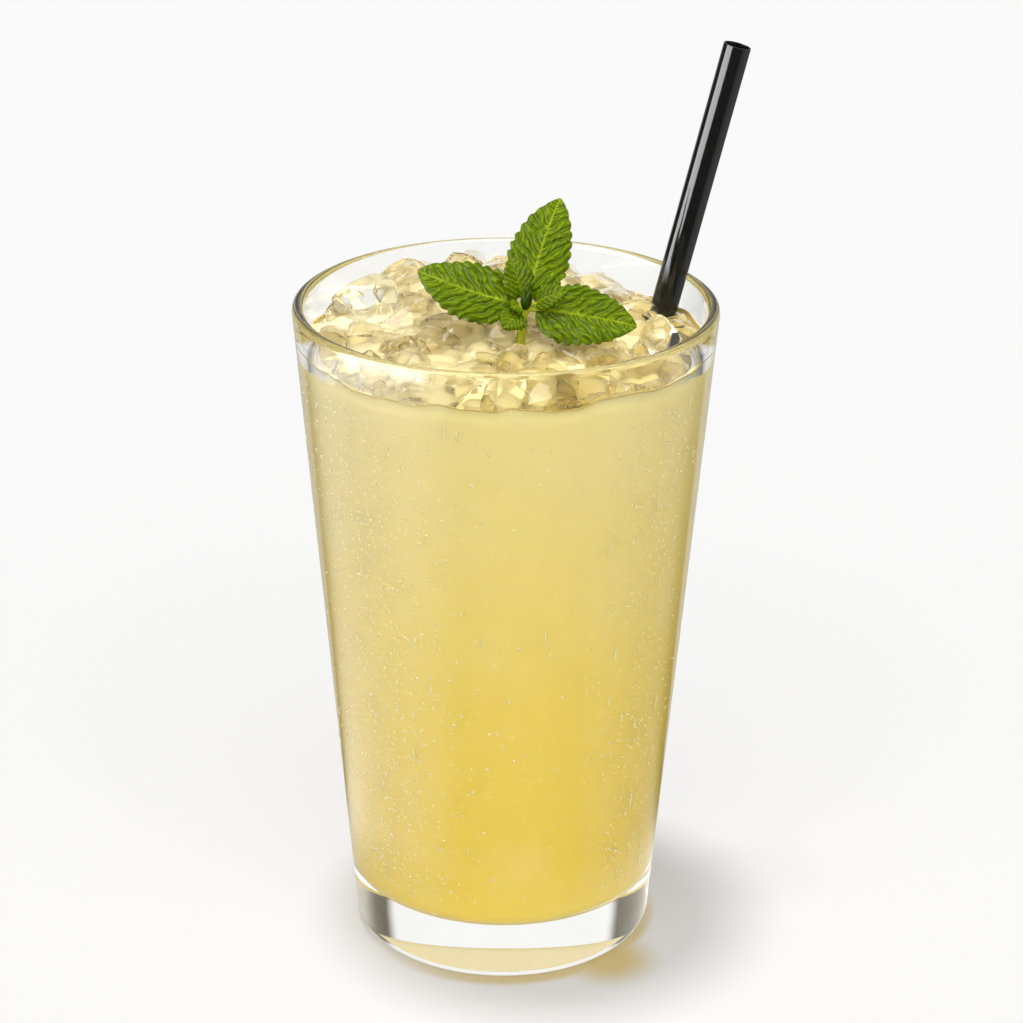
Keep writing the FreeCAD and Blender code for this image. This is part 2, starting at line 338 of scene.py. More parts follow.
# ---------------------------------------------------------------------------------------------
# The crushed ice: wet, rounded lumps heaped on the drink, a few of them clear. Under them a
# core of finer ice and drink closes the gaps between the lumps.
# ---------------------------------------------------------------------------------------------
ice_wall_height = 133.2 * mm
ice_back_rise = 5.0 * mm
ice_back_azimuth = math.radians(108.0)
ice_crown = 5.0 * mm
core_foot_height = 129.5 * mm
core_sink = 1.9 * mm
core_ripple = 0.5 * mm
ice_ior = 1.31
clear_tint = (0.97, 0.97, 0.95, 1)
pale_ice = (0.955, 0.915, 0.79, 1)
front_right_ice = (0.96, 0.87, 0.52, 1)
pale_slush = (0.80, 0.70, 0.41, 1)
front_right_slush = (0.85, 0.67, 0.225, 1)
random = np.random.default_rng(7)


def heap_height(x, y):
    """Mean height of the heap: a low crown on an edge that rises, as a cosine cubed, to the back."""
    share = np.hypot(x, y) / inner_wall(ice_wall_height)
    from_back = np.arctan2(y, x) - ice_back_azimuth
    back = share * ((1 + np.cos(from_back)) / 2) ** 3
    return ice_wall_height + ice_back_rise * back + ice_crown * (1 - share ** 2)


def spread_lumps(count, sizes, sink, rounds=60):
    """Places for lumps on the heap: scattered, then pushed apart until they hardly overlap."""
    reach = inner_wall(ice_wall_height)
    share = np.sqrt((np.arange(count) + 0.5) / count)
    turn = np.arange(count) * math.pi * (3 - math.sqrt(5)) + random.normal(0, 0.25, count)
    spots = (reach * share * np.array([np.cos(turn), np.sin(turn)])).T
    spots += random.normal(0, 1.2 * mm, spots.shape)
    for _ in range(rounds):
        offset = spots[:, None] - spots[None]
        distance = np.linalg.norm(offset, axis=-1) + 1e-9
        wanted = 0.86 * (sizes[:, None] + sizes[None])
        push = np.clip(wanted - distance, 0, None) * (distance > 1e-8)
        spots += 0.25 * (offset / distance[..., None] * push[..., None]).sum(axis=1)
        out = np.linalg.norm(spots, axis=1)
        limit = reach - 0.9 * sizes
        spots *= np.minimum(1, limit / np.maximum(out, 1e-9))[:, None]
    height = heap_height(spots[:, 0], spots[:, 1]) - sink
    return np.column_stack([spots, height])


def lump_rows(centres, sizes, rings, around, edge, faces=8):
    """Broken lumps with rounded edges: the distance to the skin in a direction d is one over
    the p-norm of the shares max(0, n.d / h) of random flats with normals n and distances h."""
    count = len(centres)
    polar = np.linspace(0.05, math.pi - 0.05, rings)[::-1]
    azimuth = np.linspace(0, 2 * np.pi, around, endpoint=False)
    sin_polar, cos_polar = np.sin(polar)[:, None], np.cos(polar)[:, None]
    flat = np.zeros_like(azimuth)
    direction = np.stack(
        [sin_polar * np.cos(azimuth), sin_polar * np.sin(azimuth), cos_polar + flat], axis=-1)
    normal = random.normal(size=(count, faces, 3))
    normal /= np.linalg.norm(normal, axis=-1, keepdims=True)
    normal = np.concatenate([normal, -normal[:, :4]], axis=1)
    distance = random.uniform(0.62, 1.1, normal.shape[:2])
    shares = np.einsum("rak,cfk->cfra", direction, normal) / distance[..., None, None]
    reach = (np.clip(shares, 0, None) ** edge).sum(axis=1) ** (-1 / edge)
    reach = np.clip(reach, 0, 1.3)
    stretch = random.uniform((0.85, 0.85, 0.7), (1.25, 1.25, 1.0), (count, 3))[:, None, None]
    sized = direction * reach[..., None] * stretch * sizes[:, None, None, None]
    return centres[:, None, None] + sized


def press_on_wall(rows):
    """Flattens what passes the inner wall on to it, just inside the glass above the drink's edge
    and one millimetre clear of it below, where the drink hides the lump."""
    radius = np.hypot(rows[..., 0], rows[..., 1])
    edge = drink_edge + edge_lift(np.arctan2(rows[..., 1], rows[..., 0]))
    above = np.clip((rows[..., 2] - edge) / (0.5 * mm), 0, 1)
    limit = inner_wall(rows[..., 2]) - 1.0 * mm * (1 - above) + 0.4 * into_wall * above
    scale = np.minimum(1, limit / np.maximum(radius, 1e-9))
    rows[..., :2] *= scale[..., None]
    return rows


# Five lumps have a place of their own: x, y, z and size in mm. The first two are clear.
set_lumps = np.array([
    [30.4, -4.4, 136.2, 4.7],
    [-28.8, 13.0, 138.6, 5.6],
    [7.2, -13.5, 135.6, 4.4],
    [-8.0, -24.0, 134.0, 4.6],
    [19.0, -20.5, 134.4, 4.0],
]) * mm
top_sizes = random.uniform(3.7, 5.9, 84) * mm
top_places = spread_lumps(len(top_sizes), top_sizes, 2.4 * mm)
apart = np.linalg.norm(top_places[:, None, :2] - set_lumps[None, :, :2], axis=-1)
free = (apart > 0.85 * (top_sizes[:, None] + set_lumps[:, 3])).all(axis=1)
top_places = np.concatenate([set_lumps[2:, :3], top_places[free]])
top_sizes = np.concatenate([set_lumps[2:, 3], top_sizes[free]])
low_sizes = random.uniform(2.6, 3.8, 80) * mm
low_places = spread_lumps(len(low_sizes), low_sizes, 3.0 * mm)
small_sizes = random.uniform(1.3, 2.3, 36) * mm
small_places = spread_lumps(len(small_sizes), small_sizes, 0.9 * mm, rounds=6)

# Each kind: places, sizes, rings, points round a ring and sharpness of the edges.
lump_kinds = {
    "crushed_ice_lumps": (top_places, top_sizes, 26, 42, 20),
    "crushed_ice_lower": (low_places, low_sizes, 12, 18, 12),
    "crushed_ice_chips": (small_places, small_sizes, 12, 18, 14),
    "crushed_ice_clear": (set_lumps[:2, :3], set_lumps[:2, 3], 60, 96, 6),
}
lumps = {}
for name, (places, sizes, rings, around, edge) in lump_kinds.items():
    places[:, 2] += random.normal(0, 0.6 * mm, len(places))
    rows = press_on_wall(lump_rows(places, sizes, rings, around, edge))
    lumps[name] = closed_piece(name, rows)

core_rings = np.linspace(0.01, 1, 60)[::-1, None]
core_turn = np.linspace(0, 2 * np.pi, 160, endpoint=False)[None]
core_x = core_rings * inner_wall(ice_wall_height) * np.cos(core_turn)
core_y = core_rings * inner_wall(ice_wall_height) * np.sin(core_turn)
core_relief = np.sin(900 * core_x + 3 * np.sin(400 * core_y)) * np.sin(850 * core_y + 2)
core_z = heap_height(core_x, core_y) - core_sink + core_ripple * core_relief
core_top = np.stack([core_x, core_y, core_z], axis=-1)
core_foot = core_top[:1].copy()
core_foot[..., 2] = core_foot_height
core = closed_piece("crushed_ice_core", press_on_wall(np.concatenate([core_foot, core_top]))[None])


def front_right_share_group():
    """A group that gives a share at a place, towards a deeper colour: nothing across the middle of
    the heap and more to the front right, as nine times x - y in metres."""
    group = bpy.data.node_groups.new("front_right_ice", "ShaderNodeTree")
    group.interface.new_socket("Place", in_out="INPUT", socket_type="NodeSocketVector")
    group.interface.new_socket("Front Right", in_out="OUTPUT", socket_type="NodeSocketFloat")
    wiring = Wiring(group)
    across = wiring.node("ShaderNodeVectorMath", operation="DOT_PRODUCT")
    across.inputs[1].default_value = (9.0, -9.0, 0.0)
    wiring.put(wiring.node("NodeGroupInput").outputs["Place"], across.inputs[0])
    wiring.put(across.outputs["Value"], wiring.node("NodeGroupOutput").inputs["Front Right"])
    return group


def deepened_colour(finish, place, pale, front_right, group):
    """A blend from a pale colour to a deeper one, as the group says at the place."""
    made = finish.node("ShaderNodeGroup", node_tree=group)
    finish.put(place, made.inputs["Place"])
    return ramp_colour(finish, made.outputs["Front Right"], (0, pale), (1, front_right))


def bumped(finish, height, strength, distance):
    """A normal tilted by a height."""
    made = finish.node("ShaderNodeBump", Strength=strength, Distance=distance)
    finish.put(height, made.inputs["Height"])
    return made.outputs[0]


front_right = front_right_share_group()
wet_ice = Finish("wet_ice")
place = wet_ice.node("ShaderNodeTexCoord").outputs["Object"]
ripple = noise(wet_ice, place, Scale=260.0, Detail=1.0)
wet_ice.set(
    Base_Color=deepened_colour(wet_ice, place, pale_ice, front_right_ice, front_right),
    Normal=bumped(wet_ice, ripple, 0.12, 0.4 * mm), Roughness=0.01, IOR=1.11,
    Transmission_Weight=1.0, Coat_Weight=1.0, Coat_Roughness=0.02, Coat_IOR=water_ior)
clear_ice = Finish("clear_ice")
clear_ice.set(Base_Color=clear_tint, Roughness=0.0, IOR=ice_ior, Transmission_Weight=1.0)
for name, piece in lumps.items():
    finish = clear_ice if name == "crushed_ice_clear" else wet_ice
    piece.data.materials.append(finish.material)
slush = Finish("ice_and_drink")
place = slush.node("ShaderNodeTexCoord").outputs["Object"]
slush.set(
    Base_Color=deepened_colour(slush, place, pale_slush, front_right_slush, front_right), Roughness=0.3,
    IOR=water_ior)
core.data.materials.append(slush.material)
for piece in [*lumps.values(), core]:
    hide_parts("crushed_ice")
    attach(piece, "root")

# ---------------------------------------------------------------------------------------------
# The straw: one plain drawn tube of glossy black plastic, cut square, with faint draw lines
# along it. It stands on the inner floor and leans on the lip.
# ---------------------------------------------------------------------------------------------
straw_radius = 2.875 * mm
straw_wall = 0.3 * mm
straw_length = 183.3 * mm
straw_turns = 72
straw_low, straw_high = (np.array(corner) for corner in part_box("straw"))
straw_lean = np.array([0.2385, 0.0278, 0.9708])
straw_black = (0.006, 0.006, 0.006, 1)
# Its box holds both end circles, which reach radius * sqrt(1 - lean^2) along each axis, so the
# lean is found in a few rounds from a first guess.
for _ in range(6):
    straw_spread = straw_radius * np.sqrt(1 - straw_lean ** 2)
    straw_lean = (straw_high - straw_low - 2 * straw_spread) / straw_length
    straw_lean /= np.linalg.norm(straw_lean)
straw_foot = straw_low + straw_spread
straw_side = np.cross([0.0, 1.0, 0.0], straw_lean)
straw_side /= np.linalg.norm(straw_side)
straw_front = np.cross(straw_lean, straw_side)


def tube_profile(radius, thickness, length, rounding=0.09 * mm, steps=5):
    """Outline of a tube's wall, all the way round it: a long rectangle with rounded corners."""
    low_out, high_out = [radius, 0], [radius, length]
    low_in, high_in = [radius - thickness, 0], [radius - thickness, length]
    bends = [
        arc_corner(low_in, low_out, high_out, rounding, steps),
        arc_corner(low_out, high_out, high_in, rounding, steps),
        arc_corner(high_out, high_in, low_in, rounding, steps),
        arc_corner(high_in, low_in, low_out, rounding, steps),
    ]
    return np.concatenate([
        bends[0], run(bends[0][-1], bends[1][0], 30), bends[1],
        bends[2], run(bends[2][-1], bends[3][0], 30), bends[3], bends[0][:1]])


def ring_piece(name, rows):
    """A ring-shaped body: rows wrap round both ways, so that it has no ends to shut."""
    rings, around = rows.shape[:2]
    index = np.arange(rings * around).reshape(rings, around)
    right = np.roll(index, -1, axis=1)
    above, diagonal = np.roll(index, -1, axis=0), np.roll(right, -1, axis=0)
    quads = np.stack([index, right, diagonal, above], axis=-1).reshape(-1, 4)
    mesh = bpy.data.meshes.new(name)
    mesh.from_pydata(rows.reshape(-1, 3).tolist(), [], quads.tolist())
    mesh.polygons.foreach_set("use_smooth", np.ones(len(quads), bool))
    piece = bpy.data.objects.new(name, mesh)
    bpy.context.scene.collection.objects.link(piece)
    return piece


upright = turned(tube_profile(straw_radius, straw_wall, straw_length)[:-1], straw_turns)
straw_rows = straw_foot + upright @ np.array([straw_side, straw_front, straw_lean])
straw = ring_piece("drinking_straw", straw_rows)
black_plastic = Finish("black_plastic")
place = black_plastic.node("ShaderNodeTexCoord").outputs["Object"]
along_straw = black_plastic.node(
    "ShaderNodeMapping", Rotation=(0, -math.asin(straw_lean[0]), 0), Scale=(1800, 1800, 25))
black_plastic.put(place, along_straw.inputs["Vector"])
streak = noise(black_plastic, along_straw.outputs[0], Scale=1.0, Detail=3.0)
black_plastic.set(
    Base_Color=straw_black, Roughness=scaled(black_plastic, streak, To_Min=0.06, To_Max=0.16),
    IOR=1.49, Normal=bumped(black_plastic, streak, 0.06, 0.1 * mm))
straw.data.materials.append(black_plastic.material)
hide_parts("straw")
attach(straw, "root")

# ---------------------------------------------------------------------------------------------
# The line of the drink: a thin bead of drink where its edge climbs the wall all round, coloured a
# darker gold, which is painted shade for the dark line of the meniscus. And the condensation: beads
# and short runs of water on the outside, most of them towards the left, coloured yellow, which is
# painted light from the drink seen through them.
# ---------------------------------------------------------------------------------------------
line_turn = np.linspace(0, 2 * np.pi, 900, endpoint=False)
line_height = drink_edge + edge_lift((line_turn + np.pi) % (2 * np.pi) - np.pi)
line_radius = inner_wall(line_height)
round_it = np.linspace(0, 2 * np.pi, 10, endpoint=False)
bead = 0.17 * mm
painted_edge_shade = (0.64, 0.47, 0.13, 1)
line_out = line_radius[:, None] + bead * np.cos(round_it)
line_rows = np.stack([
    line_out * np.cos(line_turn)[:, None],
    line_out * np.sin(line_turn)[:, None],
    line_height[:, None] + bead * np.sin(round_it)], axis=-1)
drink_line = ring_piece("lemonade_edge", line_rows[::-1])
# The bead's darker gold is painted shade: the dark line that the curved meniscus shows.
painted_gold = Finish("painted_shade_edge")
painted_gold.set(Base_Color=painted_edge_shade, Roughness=0.25)
drink_line.data.materials.append(painted_gold.material)
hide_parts("lemonade")
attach(drink_line, "root")


def dome_rows(turn, height, half_width, half_length, bulge, slant, drop, around):
    """Low domes on the outside wall. At a share t of its outline a dome stands bulge (1 - t^2)
    off the glass; the outline is an ellipse, narrowed upwards by drop and sheared by slant."""
    share = np.array([1.04, 0.93, 0.66, 0.28])[:, None]
    angle = np.linspace(0, 2 * np.pi, around, endpoint=False)[None]
    given = (turn, height, half_width, half_length, bulge, slant, drop)
    turn, height, half_width, half_length, bulge, slant, drop = (
        values[:, None, None] for values in given)
    up = half_length * share * np.sin(angle)
    side = half_width * share * np.cos(angle) * (1 - drop * np.sin(angle)) + slant * up
    level = height + up
    radius = outer_wall(level) + bulge * (1 - share ** 2)
    azimuth = turn + side / radius
    return np.stack([radius * np.cos(azimuth), radius * np.sin(azimuth), level], axis=-1)


def wet_places(count):
    """Azimuths and heights of drops: a third anywhere, the rest about two bands."""
    band = random.choice(3, count, p=(0.36, 0.44, 0.20))
    turn = np.where(band == 0, random.uniform(-180, 180, count), np.where(
        band == 1, random.normal(-134, 17, count), random.normal(-40, 10, count)))
    return np.radians(turn), random.uniform(19, 130, count) * mm


drops = 2700
least_drop = 0.12 * mm
painted_drink_light_tint = (0.60, 0.52, 0.27, 1)
drop_turn, drop_height = wet_places(drops)
drop_size = least_drop * (1 + random.exponential(0.55, drops)).clip(1, 2.8)
beads = closed_piece("condensation_beads", dome_rows(
    drop_turn, drop_height, drop_size * random.uniform(0.8, 1.15, drops),
    drop_size * random.uniform(0.9, 1.5, drops), drop_size * 0.42, random.normal(0, 0.2, drops),
    random.uniform(0, 0.3, drops), 8))
runs = 70
run_turn, run_height = wet_places(runs)
run_width = random.uniform(0.13, 0.26, runs) * mm
trails = closed_piece("condensation_runs", dome_rows(
    run_turn, run_height, run_width, random.uniform(0.6, 1.9, runs) * mm, run_width * 0.40,
    random.normal(0.02, 0.16, runs), random.uniform(0.2, 0.6, runs), 16))
# The drops are clear water; their yellow colour is painted light, the drink as seen through them.
water = Finish("condensation")
water.set(
    Base_Color=painted_drink_light_tint, Roughness=0.12, IOR=water_ior, Subsurface_Weight=0.6,
    Subsurface_Scale=0.5 * mm)
for piece in (beads, trails):
    piece.data.materials.append(water.material)
    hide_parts("glass")
    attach(piece, "root")

# ---------------------------------------------------------------------------------------------
# The mint: one fresh sprig, its stem stuck in the ice. Three large toothed leaves spread in a
# whorl, puckered between sunken veins, with four young leaves and a bud at its middle.
# ---------------------------------------------------------------------------------------------
whorl = np.array([4.0, -9.6, 144.05]) * mm
whorl_tilt = math.radians(45.0)
whorl_axis = np.array([0, -math.sin(whorl_tilt), math.cos(whorl_tilt)])
whorl_up = np.array([0, math.cos(whorl_tilt), math.sin(whorl_tilt)])
petiole = 2.2 * mm
large_leaf = 15
vein_width = 0.16 * mm
rung_width = 0.12 * mm
rib_width = 0.24 * mm
skin_gap = 0.32 * mm
stem_steps = 24
leaf_shade = (0.006, 0.024, 0.0002, 1)
leaf_light = (0.168, 0.255, 0.0003, 1)
vein_green = (0.38, 0.46, 0.015, 1)
stem_colour = (0.34, 0.38, 0.012, 1)


def leaf_frame(angle, lift):
    """Directions along, across and out of a leaf's face, for its turn and lift in the whorl."""
    turn, rise = math.radians(angle), math.radians(lift)
    outward = np.array([math.cos(turn), 0, 0]) + whorl_up * math.sin(turn)
    along = outward * math.cos(rise) + whorl_axis * math.sin(rise)
    facing = whorl_axis * math.cos(rise) - outward * math.sin(rise)
    return along, np.cross(facing, along), facing


def leaf_rows(angle, length, width, lift, arch, bow, fold, vein_gap, teeth, rings=220, half=90):
    """A leaf blade with two skins. A point s along and v across lies on the rib, plus v times
    the half width s^0.45 (1-s)^0.75 with saw teeth, raised by the fold times |v|^1.4 and by
    pillows |sin| between the veins, which slant forward by 0.8 of the way out."""
    along, across, facing = leaf_frame(angle, lift)
    blade = length - petiole
    s = np.linspace(0, 1, rings)[:, None]
    v = np.linspace(-1, 1, half)[None]
    v = np.sign(v) * np.abs(v) ** 0.85
    peak = 0.45 / 1.2
    outline = (s + 0.002) ** 0.45 * (1.001 - s) ** 0.75 / (peak ** 0.45 * (1 - peak) ** 0.75)
    tooth = (s * teeth + 0.15 * np.sign(v)) % 1
    saw = np.sin(np.pi * tooth ** 1.7) ** 0.7
    grown = np.clip(np.sin(np.pi * np.clip(s, 0.06, 0.97)) * 2.2, 0, 1)
    edge_share = np.clip((np.abs(v) - 0.72) / 0.28, 0, 1)
    notch = 0.10 * (saw - 0.55) * grown * edge_share
    half_width = np.maximum(0.5 * width * outline, 0.35 * mm)
    side = v * half_width * (1 + notch)
    out = np.abs(side)
    forward = s * blade
    wobble = 0.13 * np.sin(1.1 * forward / mm + 2.4 * np.sign(v)) + 0.10 * np.sin(1.9 * out / mm)
    slant = forward - 0.80 * out - 0.045 * out ** 2 / mm
    phase = slant / vein_gap + 0.25 * np.sign(v) + wobble
    to_vein = np.abs(phase - np.round(phase)) * vein_gap
    cell = np.floor(phase + 0.5)
    rung = out / (0.62 * vein_gap) + 0.37 * cell + 0.22 * np.sin(2.3 * cell + phase * 3)
    to_rung = np.abs(rung - np.round(rung)) * 0.62 * vein_gap
    depth = np.clip(half_width / (0.5 * width), 0.15, 1)
    vein = np.exp(-(to_vein / vein_width) ** 2) * (1 - 0.6 * np.abs(v))
    small_vein = np.exp(-(to_rung / rung_width) ** 2) * 0.25
    rib_mark = np.exp(-(out / (rib_width * (1.3 - 0.8 * s))) ** 2)
    dome = np.abs(np.sin(np.pi * phase)) ** 0.75 * (0.5 + 0.5 * np.abs(np.sin(np.pi * rung)) ** 0.75)
    puff = 0.75 + 0.35 * np.sin(1.7 * cell + 2.9 * np.floor(rung + 0.5) + np.sign(v))
    calm = np.clip((1 - np.abs(v)) / 0.16, 0, 1)
    relief = 0.31 * vein_gap * dome * puff * depth * (0.35 + 0.65 * calm)
    relief = relief - 0.12 * mm * rib_mark
    wave = 0.35 * mm * np.sin(forward / blade * 17 + 1.3 * np.sign(v)) * np.abs(v) ** 3
    swell = 4 * s * (1 - s)
    raised = fold * half_width * np.abs(v) ** 1.4 + relief + wave * depth
    raised = raised - 0.9 * mm * np.abs(v) ** 5 * depth
    rib = whorl + along * (petiole + blade * s[..., None]) + (
        (facing * arch + across * bow) * swell[..., None])
    skin = rib + across * side[..., None] + facing * raised[..., None]
    loop = np.concatenate([skin[:, ::-1], skin - skin_gap * facing], axis=1)
    grown_veins = np.clip(length / (22 * mm), 0.35, 1)
    veins = np.maximum(np.maximum(vein, small_vein), rib_mark) * grown_veins
    # How far each point stands up on its swelling: it paints shade in the creases and light on the
    # swellings, in the leaf's colour.
    relief_shading = np.clip(dome ** 2.2 * (0.7 + 0.3 * puff), 0, 1) + 0 * v
    marks = {
        "vein": np.concatenate([veins[:, ::-1], veins], axis=1)[None],
        "relief_shading": np.concatenate([relief_shading[:, ::-1], relief_shading], axis=1)[None]}
    share = np.stack([s + 0 * v, 0.5 + 0.5 * v + 0 * s], axis=-1)
    return loop, marks, np.concatenate([share[:, ::-1], share], axis=1)


# Each leaf, in degrees and mm: turn, length, width, lift, arch, bow, fold (a share of the half
# width), gap between veins, and teeth.
leaves = {
    "left": (161.0, 23.2, 12.8, 3.0, 0.6, 0.9, 0.16, 2.5, 10),
    "top": (74.0, 25.2, 12.4, 3.0, 0.6, 0.5, 0.14, 2.5, 10),
    "right": (-11.5, 22.8, 13.2, 3.0, 0.6, 0.0, 0.12, 2.5, 10),
    "upper_young": (110.0, 10.5, 6.4, 30.0, 0.6, 0.0, 0.45, 1.3, 7),
    "right_young": (10.0, 9.8, 5.2, 30.0, 0.6, 0.0, 0.45, 1.2, 7),
    "lower_young": (233.0, 7.6, 6.2, 18.0, 0.6, 0.0, 0.15, 1.1, 6),
    "lower_bud_leaf": (212.0, 5.0, 3.6, 48.0, 0.4, 0.0, 0.25, 0.9, 5),
}
leaf_pieces = []
for leaf_name, numbers in leaves.items():
    angle, length, width, lift, arch, bow, fold, vein_gap, teeth = numbers
    large = length > large_leaf
    rows, marks, share = leaf_rows(
        angle, length * mm, width * mm, lift, arch * mm, bow * mm, fold, vein_gap * mm, teeth,
        rings=220 if large else 110, half=90 if large else 50)
    leaf_pieces.append(closed_piece("mint_leaf_" + leaf_name, rows[None], share[None], marks))


def rod_rows(path, radii, around=20):
    """A round rod along a path: circles set square to the way from each point to the next."""
    path = np.array(path)
    way = np.gradient(path, axis=0)
    way /= np.linalg.norm(way, axis=1, keepdims=True)
    side = np.cross(way, [0.31, 0.95, 0.05])
    side /= np.linalg.norm(side, axis=1, keepdims=True)
    other = np.cross(way, side)
    turn = np.linspace(0, 2 * np.pi, around, endpoint=False)[None, :, None]
    circle = side[:, None] * np.cos(turn) + other[:, None] * np.sin(turn)
    return path[:, None] + circle * np.array(radii)[:, None, None]


def bent_path(start, control, end, steps):
    """Points on the curve a(1-t)^2 + 2bt(1-t) + ct^2, from a to c and drawn towards b."""
    t = np.linspace(0, 1, steps)[:, None]
    start, control, end = np.array(start), np.array(control), np.array(end)
    return start * (1 - t) ** 2 + 2 * control * t * (1 - t) + end * t ** 2


stem_foot = np.array([2.55, -9.6, 132.6]) * mm
stem_path = bent_path(stem_foot, [3.2 * mm, -9.4 * mm, 139.5 * mm], whorl, stem_steps)
stems = [rod_rows(stem_path, np.linspace(1.05, 0.85, stem_steps) * mm)]
for angle, length, width, lift, *rest in leaves.values():
    along, across, facing = leaf_frame(angle, lift)
    petiole_end = whorl + along * (petiole + 1.6 * mm) - facing * 0.25 * mm
    petiole_path = bent_path(whorl, whorl + along * petiole, petiole_end, stem_steps)
    slender = 1 if length > large_leaf else 0.7
    stems.append(rod_rows(petiole_path, np.linspace(0.75, 0.3, stem_steps) * mm * slender))
stem_piece = closed_piece("mint_stem", np.array(stems))
bud_rows = []
t = np.linspace(0.02, 0.98, stem_steps)
for angle, lift, size in ((78, 50, 5.6), (60, 62, 4.6), (100, 64, 4.4), (80, 76, 3.6)):
    along, across, facing = leaf_frame(angle, lift)
    curl = facing * (0.5 * mm * np.sin(np.pi * t))[:, None]
    bud_rows.append(rod_rows(
        whorl + along * (size * mm * t[:, None]) + curl,
        0.95 * mm * np.sin(np.pi * t ** 0.7) ** 0.8 + 0.05 * mm))
bud_piece = closed_piece("mint_bud", np.array(bud_rows))

leaf_green = Finish("mint_leaf_green")
place = leaf_green.node("ShaderNodeTexCoord").outputs["Object"]
vein_mark = leaf_green.node("ShaderNodeAttribute", attribute_name="vein").outputs["Fac"]
relief_shading_mark = leaf_green.node("ShaderNodeAttribute", attribute_name="relief_shading").outputs["Fac"]
mottle = noise(leaf_green, place, Scale=320.0, Detail=4.0)
# The green is darker in the creases and brighter on the swellings between the veins: painted shade
# and painted light that follow the relief, with a random mottle.
lit = leaf_green.node("ShaderNodeMix", data_type="FLOAT")
for number, given in ((0, 0.4), (2, relief_shading_mark), (3, mottle)):
    leaf_green.put(given, lit.inputs[number])
greens = ramp_colour(leaf_green, lit.outputs[0], (0.15, leaf_shade), (0.85, leaf_light))
faint_vein = leaf_green.node("ShaderNodeMath", operation="MULTIPLY")
leaf_green.put(vein_mark, faint_vein.inputs[0])
leaf_green.put(0.6, faint_vein.inputs[1])
grain = noise(leaf_green, place, Scale=2500.0, Detail=2.0)
leaf_green.set(
    Base_Color=colour_mix(leaf_green, faint_vein.outputs[0], greens, vein_green),
    Normal=bumped(leaf_green, grain, 0.25, 0.1 * mm), Roughness=0.27, Specular_IOR_Level=0.09,
    Subsurface_Weight=0.1, Subsurface_Scale=0.6 * mm, Subsurface_Radius=(0.6, 1.0, 0.05))
stem_green = Finish("mint_stem_green")
stem_green.set(Base_Color=stem_colour, Roughness=0.4, Specular_IOR_Level=0.3)
for piece in leaf_pieces + [bud_piece]:
    piece.data.materials.append(leaf_green.material)
stem_piece.data.materials.append(stem_green.material)
for piece in leaf_pieces + [bud_piece, stem_piece]:
    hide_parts("mint_sprig")
    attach(piece, "root")

# ---------------------------------------------------------------------------------------------
# Floor, light and camera: a pale table in an even pale studio, with a tall soft panel at the
# left, a dim one at the right and a white cloth behind.
# ---------------------------------------------------------------------------------------------
class Glow(Wiring):
    """Wiring for a brightness, with short calls for sums, windows, mixes and directions."""

    def maths(self, operation, first, *others):
        """One operation carried through all the values, from the first to the last."""
        result = first
        for other in others:
            made = self.node("ShaderNodeMath", operation=operation)
            self.put(result, made.inputs[0])
            self.put(other, made.inputs[1])
            result = made.outputs[0]
        return result

    def window(self, value, low, high, bottom=0.0, top=1.0):
        """A smooth step from bottom to top while the value goes from low to high."""
        made = self.node("ShaderNodeMapRange", interpolation_type="SMOOTHSTEP")
        for number, given in enumerate((value, low, high, bottom, top)):
            self.put(given, made.inputs[number])
        return made.outputs[0]

    def blend(self, factor, first, second):
        """A mix of two values."""
        made = self.node("ShaderNodeMix", data_type="FLOAT")
        self.put(factor, made.inputs[0])
        self.put(first, made.inputs[2])
        self.put(second, made.inputs[3])
        return made.outputs[0]

    def towards(self, vector, direction):
        """The dot product of a vector and a fixed direction."""
        made = self.node("ShaderNodeVectorMath", operation="DOT_PRODUCT")
        self.put(vector, made.inputs[0])
        made.inputs[1].default_value = direction
        return made.outputs["Value"]

    def far_from(self, place, middle):
        """How far a place is from a fixed one."""
        made = self.node("ShaderNodeVectorMath", operation="DISTANCE")
        self.put(place, made.inputs[0])
        made.inputs[1].default_value = middle
        return made.outputs["Value"]


def studio_panels():
    """A group that says how far a direction looks at the left panel, the right one and the
    cloth behind: each mask is a smooth window on the cosine of the level angle to its middle."""
    group = bpy.data.node_groups.new("studio_panels", "ShaderNodeTree")
    group.interface.new_socket("Direction", in_out="INPUT", socket_type="NodeSocketVector")
    for name in ("Left", "Strip", "Right", "Behind"):
        group.interface.new_socket(name, in_out="OUTPUT", socket_type="NodeSocketFloat")
    wiring = Glow(group)
    entry = wiring.node("NodeGroupInput")
    leave = wiring.node("NodeGroupOutput")
    level = wiring.node("ShaderNodeVectorMath", operation="MULTIPLY")
    wiring.put(entry.outputs[0], level.inputs[0])
    level.inputs[1].default_value = (1, 1, 0)
    unit = wiring.node("ShaderNodeVectorMath", operation="NORMALIZE")
    wiring.put(level.outputs[0], unit.inputs[0])
    panels = (
        ("Left", 80, 36, 24), ("Strip", 68, 27, 3), ("Right", -85, 32, 12), ("Behind", 180, 41, 4))
    for name, azimuth, half, soft in panels:
        turn = math.radians(azimuth)
        cosine = wiring.towards(unit.outputs[0], (-math.sin(turn), -math.cos(turn), 0))
        low = math.cos(math.radians(half + soft))
        high = math.cos(math.radians(half - soft))
        wiring.put(wiring.window(cosine, low, high), leave.inputs[name])
    return group


# Brightness of the studio's parts, as mirrored in the glass, the floor's own shade, and the tint of
# the painted caustic on it.
strip_bright = 10.0
right_bright = 0.5
cloth_bright = 0.92
floor_shade = 0.372
floor_lift = 0.295
floor_bounce = 1.25
plain_white = (1, 1, 1, 1)
# The gold of the painted caustic: light that came through the drink.
painted_caustic_tint = (0.83, 0.67, 0.33, 1)
half_floor = 6.0

